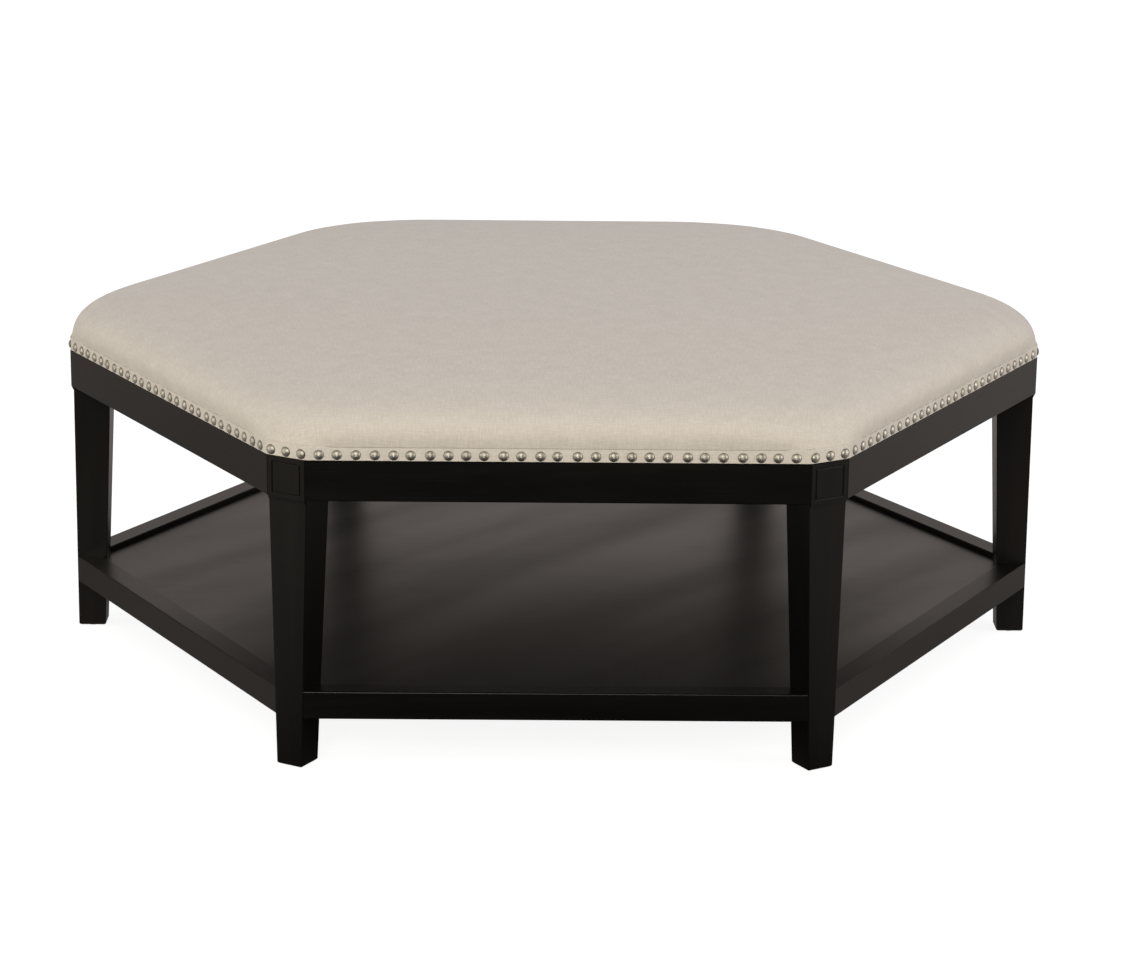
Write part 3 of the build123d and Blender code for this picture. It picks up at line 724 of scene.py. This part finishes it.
class OTTOMAN_OT_cushion(bpy.types.Operator):
    """Makes the padded seat: the CAD form remeshed, swelled by cloth pressure and trimmed"""
    bl_idname = "ottoman.cushion"
    bl_label = "Seat cushion"

    def execute(self, context):
        settings = context.scene.ottoman_seat
        form = merged_copy("seat_cover")
        cut_level(form, CUSHION_FOOT)
        keep_outer_faces(form, Vector((0, 0, CUSHION_FOOT)))
        skirt = bmesh.ops.extrude_edge_only(form, edges=open_edges(form))["geom"]
        bmesh.ops.translate(form, vec=(0, 0, -SKIRT),
                            verts=[part for part in skirt if isinstance(part, bmesh.types.BMVert)])
        bmesh.ops.holes_fill(form, edges=open_edges(form))
        cushion = new_piece("seat_cushion", form, linen_finish(context.scene.ottoman_linen))
        grid = cushion.modifiers.new("Even grid", "REMESH")
        grid.mode = "VOXEL"
        grid.voxel_size = settings.voxel
        form = baked(cushion)
        cushion.modifiers.remove(grid)
        free = [vert for vert in form.verts if vert.co.z > SOFTENED_ABOVE]
        for _ in range(settings.smoothing):
            bmesh.ops.smooth_vert(form, verts=free, factor=0.5, use_axis_x=True,
                                  use_axis_y=True, use_axis_z=True)
        form.normal_update()
        for vert in form.verts:
            vert.co -= vert.normal * settings.start_inset
        form.to_mesh(cushion.data)
        form.free()
        self.swell(context, cushion, settings)
        self.trim(cushion)
        smooth = cushion.modifiers.new("Soft surface", "SUBSURF")
        smooth.levels = smooth.render_levels = 1
        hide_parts("seat_cover", "padding_wrap", "foam_pad")
        return {"FINISHED"}

    @staticmethod
    def swell(context, cushion, settings):
        """Swells the cushion with cloth pressure while its foot is held still"""
        held = cushion.vertex_groups.new(name="Held")
        held.add([vert.index for vert in cushion.data.vertices if vert.co.z < HELD_BELOW], 1.0,
                 "REPLACE")
        start = [vert.co.copy() for vert in cushion.data.vertices]
        cloth = cushion.modifiers.new("Padding", "CLOTH")
        cloth.settings.use_pressure = True
        cloth.settings.uniform_pressure_force = settings.pressure
        cloth.settings.effector_weights.gravity = 0
        cloth.settings.vertex_group_mass = "Held"
        cloth.point_cache.frame_start = 1
        cloth.point_cache.frame_end = SWELL_FRAMES
        for step in range(SWELL_FRAMES):
            context.scene.frame_set(step + 1)
        form = baked(cushion)
        cushion.modifiers.remove(cloth)
        cushion.vertex_groups.clear()
        context.scene.frame_set(1)
        # The whole swell is drawn back in one share, so it stays smooth under the cap
        furthest = max((vert.co - place).length for vert, place in zip(form.verts, start))
        share = min(1, settings.swell_cap / furthest)
        for vert, place in zip(form.verts, start):
            vert.co = place.lerp(vert.co, share)
        form.to_mesh(cushion.data)
        form.free()

    @staticmethod
    def trim(cushion):
        """Cuts the foot level where it rests on the deck and maps the cloth"""
        form = bmesh.new()
        form.from_mesh(cushion.data)
        crease = form.edges.layers.float.new("crease_edge")
        cut_level(form, TRIM_HEIGHT)
        rim = open_edges(form)
        for edge in rim:
            edge[crease] = 1
        underside = bmesh.ops.holes_fill(form, edges=rim)["faces"]
        bmesh.ops.inset_region(form, faces=underside, thickness=UNDERSIDE_INSET)
        bmesh.ops.triangulate(form, faces=underside)
        map_cloth(form)
        form.to_mesh(cushion.data)
        form.free()
        cushion.data.shade_smooth()


class OTTOMAN_OT_band(bpy.types.Operator):
    """Makes the flat band of linen that the nails hold round the foot of the seat"""
    bl_idname = "ottoman.band"
    bl_label = "Nailed band"

    def execute(self, context):
        settings = context.scene.ottoman_seat
        form = merged_copy("seat_cover")
        cut_level(form, BAND_CUT_LOW)
        cut_level(form, BAND_CUT_HIGH, keep_above=False)
        middle = (BAND_CUT_LOW + BAND_CUT_HIGH) / 2
        keep_outer_faces(form, Vector((0, 0, middle)))
        bmesh.ops.dissolve_limit(form, angle_limit=STRAIGHT_ENOUGH, verts=form.verts,
                                 edges=form.edges)
        for vert in form.verts:
            upper = vert.co.z > middle
            vert.co.z = frame_top + (settings.band_height if upper else BAND_LIFT)
        level = [edge for edge in form.edges
                 if rise_of(edge) < LEVEL_RISE and edge.calc_length() > SHORTEST_SIDE]
        bmesh.ops.subdivide_edges(form, edges=level, cuts=settings.band_cuts,
                                  use_grid_fill=True)
        upright = [edge for edge in form.edges if rise_of(edge) > LEVEL_RISE]
        bmesh.ops.subdivide_edges(form, edges=upright, cuts=settings.band_rows,
                                  use_grid_fill=True)
        self.puff(form, settings)
        flat_area = sum(face.calc_area() for face in form.faces)
        map_cloth(form)
        band = new_piece("seat_band", form, linen_finish(context.scene.ottoman_linen))
        wall = band.modifiers.new("Folded cloth", "SOLIDIFY")
        wall.thickness = settings.band_thickness
        wall.offset = -1
        fold = band.modifiers.new("Soft fold", "BEVEL")
        fold.width = settings.band_thickness * FOLD_SHARE
        fold.segments = 2
        flat_width = settings.band_height - BAND_LIFT
        flat_area / flat_width
        return {"FINISHED"}

    @staticmethod
    def puff(form, settings):
        """Lets the band stand out softly between the nails"""
        places = nail_places()
        tree = kdtree.KDTree(len(places))
        for index, place in enumerate(places):
            tree.insert(place, index)
        tree.balance()
        for vert in form.verts:
            _, _, distance = tree.find(vert.co)
            rise = 1 - math.exp(-(distance / settings.nail_reach) ** 2)
            vert.co += outward_at(vert.co) * settings.band_puff * rise


def outward_at(place):
    """Unit vector out of the side or corner face that the place lies on"""
    faces = [(outward(angle), nail_tip) for angle in SIDES.values()]
    faces += [(outward(angle), corner_nail_tip) for angle in CORNERS.values()]
    return max(faces, key=lambda face: place.dot(face[0]) - face[1])[0]


def nail_places():
    """Tip of each decorative nail, read from the frame"""
    places = []
    for name in SIDES:
        form = merged_copy(f"nail_trim_{name}")
        for vert in form.verts:
            vert.tag = False
        for first in form.verts:
            if first.tag:
                continue
            first.tag = True
            nail = [first]
            # The list grows while it is read, until it holds the whole nail
            for vert in nail:
                for edge in vert.link_edges:
                    other = edge.other_vert(vert)
                    if not other.tag:
                        other.tag = True
                        nail.append(other)
            tip = max(nail, key=lambda vert: vert.co.xy.length)
            places.append(tip.co.copy())
        form.free()
    return places


# CAD pieces

UPRIGHT_GRAIN = (0, math.radians(90), 0)


def give_finish(node, material):
    """Gives a CAD node its finish"""
    piece = nodes[node]
    if not piece.material_slots:
        piece.data.materials.append(material)
    for slot in piece.material_slots:
        slot.material = material


def grain_along(angle):
    """Turn that brings the grain of the piece on one side of the table to X"""
    return (0, 0, math.radians(90 - angle))


class OTTOMAN_OT_nails(bpy.types.Operator):
    """Finishes the six rows of decorative nails"""
    bl_idname = "ottoman.nails"
    bl_label = "Decorative nails"

    def execute(self, context):
        settings = context.scene.ottoman_nails
        for name, angle in SIDES.items():
            give_finish(f"nail_trim_{name}",
                        nail_finish(f"Antique nickel {name}", settings, angle))
        return {"FINISHED"}


class OTTOMAN_OT_lacquered_wood(bpy.types.Operator):
    """Finishes the legs, the aprons and the shelf in satin espresso lacquer"""
    bl_idname = "ottoman.lacquered_wood"
    bl_label = "Lacquered wood"

    def execute(self, context):
        settings = context.scene.ottoman_lacquer
        upright = lacquer_finish("Lacquer upright", settings, UPRIGHT_GRAIN)
        for name in CORNERS:
            give_finish(f"leg_{name}", upright)
        for name, angle in SIDES.items():
            along = lacquer_finish(f"Lacquer {name}", settings, grain_along(angle))
            give_finish(f"apron_{name}", along)
            give_finish(f"shelf_rail_{name}", along)
        give_finish("shelf_panel",
                    lacquer_finish("Lacquer shelf", settings, (0, 0, 0), SHELF_STREAKS,
                                   (0, 0, SHELF_STREAKS_TURN)))
        return {"FINISHED"}


class OTTOMAN_OT_hidden_wood(bpy.types.Operator):
    """Finishes the deck, the braces, the cleats and the dowels in bare wood"""
    bl_idname = "ottoman.hidden_wood"
    bl_label = "Bare wood"

    def execute(self, context):
        give_finish("seat_deck", plywood_finish("Birch plywood"))
        for name, angle in CORNERS.items():
            give_finish(f"corner_brace_{name}",
                        bare_beech_finish(f"Beech brace {name}", grain_along(angle)))
        for name, angle in SIDES.items():
            give_finish(f"shelf_cleat_{name}",
                        bare_beech_finish(f"Beech cleat {name}", grain_along(angle)))
        for name in ("apron_dowels", "shelf_dowels"):
            give_finish(name, bare_beech_finish(f"Beech {name}"))
        return {"FINISHED"}


class OTTOMAN_OT_hardware(bpy.types.Operator):
    """Finishes the bolts, screws, staples and glides"""
    bl_idname = "ottoman.hardware"
    bl_label = "Hardware"

    def execute(self, context):
        zinc = zinc_finish("Zinc plate")
        for name in ("corner_bolts", "corner_washers", "corner_nuts", "brace_screws",
                     "deck_screws", "cleat_screws", "shelf_screws", "dust_cover_staples"):
            give_finish(name, zinc)
        nylon = nylon_finish("Black nylon")
        for name in CORNERS:
            give_finish(f"glide_{name}", nylon)
        return {"FINISHED"}


# Dust cover: its cloth and ripples as shares, and how far in its outline may lie

DUST_CLOTH_SHARE = 0.9
RIPPLE_SHARE = 0.3
OUTLINE_DEPTH = 1 * MM


class OTTOMAN_OT_dust_cover(bpy.types.Operator):
    """Makes the stapled dust cover, which sags a little between its staples"""
    bl_idname = "ottoman.dust_cover"
    bl_label = "Dust cover"

    def execute(self, context):
        settings = context.scene.ottoman_seat
        form = merged_copy("dust_cover")
        above = [vert for vert in form.verts if vert.co.z > (dust_low.z + dust_high.z) / 2]
        bmesh.ops.delete(form, geom=above, context="VERTS")
        span = dust_high.xy - dust_low.xy
        # The other vertices ring the staples, which the sheet needs no holes for
        rim = [vert for vert in form.verts if self.on_outline(vert.co)]
        outline = bmesh.new()
        for vert in sorted(rim, key=lambda vert: math.atan2(vert.co.y, vert.co.x)):
            outline.verts.new(vert.co)
        form.free()
        bmesh.ops.contextual_create(outline, geom=outline.verts)
        steps = int(span.x / settings.sheet_grid)
        for axis in range(2):
            for step in range(1, steps):
                place, way = Vector(), Vector()
                place[axis] = dust_low[axis] + span[axis] * step / steps
                way[axis] = 1
                bmesh.ops.bisect_plane(
                    outline, geom=[*outline.verts, *outline.edges, *outline.faces],
                    plane_co=place, plane_no=way)
        flat_area = sum(face.calc_area() for face in outline.faces)
        map_cloth(outline)
        for vert in outline.verts:
            out = vert.co.dot(outward(nearest_side(vert.co))) / (span.y / 2)
            ripple = noise.noise(vert.co * settings.ripple_scale)
            vert.co.z -= (1 - out ** 2) * settings.sheet_sag * (1 + RIPPLE_SHARE * ripple)
        outline.normal_update()
        cover = new_piece("dust_sheet", outline, dust_cloth_finish("Dust cloth"))
        cloth = cover.modifiers.new("Cloth", "SOLIDIFY")
        cloth.thickness = (dust_high.z - dust_low.z) * DUST_CLOTH_SHARE
        cloth.offset = -1
        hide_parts("dust_cover")
        return {"FINISHED"}

    @staticmethod
    def on_outline(place):
        """Whether a place lies on the outline of the cover and not round a staple"""
        side = place.dot(outward(nearest_side(place)))
        corner = max(place.dot(outward(angle)) for angle in CORNERS.values())
        return side > dust_high.y - OUTLINE_DEPTH or corner > dust_high.x - OUTLINE_DEPTH


class OTTOMAN_PT_panel(bpy.types.Panel):
    """Lists the table's pieces in the sidebar"""
    bl_idname = "OTTOMAN_PT_panel"
    bl_label = "Ottoman table"
    bl_space_type = "VIEW_3D"
    bl_region_type = "UI"
    bl_category = "Ottoman"

    def draw(self, context):
        for name in SETTINGS:
            box = self.layout.box()
            group = getattr(context.scene, name)
            for prop in group.bl_rna.properties:
                if prop.identifier not in ("rna_type", "name"):
                    box.prop(group, prop.identifier)
        for operator in OPERATORS:
            self.layout.operator(operator.bl_idname)


SETTINGS = {
    "ottoman_camera": CameraSettings,
    "ottoman_stage": StageSettings,
    "ottoman_linen": LinenSettings,
    "ottoman_seat": SeatSettings,
    "ottoman_nails": NailSettings,
    "ottoman_lacquer": LacquerSettings,
}
OPERATORS = (OTTOMAN_OT_camera, OTTOMAN_OT_stage, OTTOMAN_OT_cushion, OTTOMAN_OT_band,
             OTTOMAN_OT_nails, OTTOMAN_OT_lacquered_wood, OTTOMAN_OT_hidden_wood,
             OTTOMAN_OT_hardware, OTTOMAN_OT_dust_cover)


def register():
    """Registers the settings, the operators and the panel"""
    for group in SETTINGS.values():
        bpy.utils.register_class(group)
    for name, group in SETTINGS.items():
        setattr(bpy.types.Scene, name, PointerProperty(type=group))
    for operator in OPERATORS:
        bpy.utils.register_class(operator)
    bpy.utils.register_class(OTTOMAN_PT_panel)


def unregister():
    """Takes away what register added, in reverse"""
    bpy.utils.unregister_class(OTTOMAN_PT_panel)
    for operator in reversed(OPERATORS):
        bpy.utils.unregister_class(operator)
    for name, group in reversed(SETTINGS.items()):
        delattr(bpy.types.Scene, name)
        bpy.utils.unregister_class(group)


def main():
    """Makes the table and its stage"""
    register()
    bpy.context.scene.view_settings.view_transform = "Standard"
    for operator in OPERATORS:
        group, name = operator.bl_idname.split(".")
        getattr(getattr(bpy.ops, group), name)()


if __name__ == "__main__":
    main()
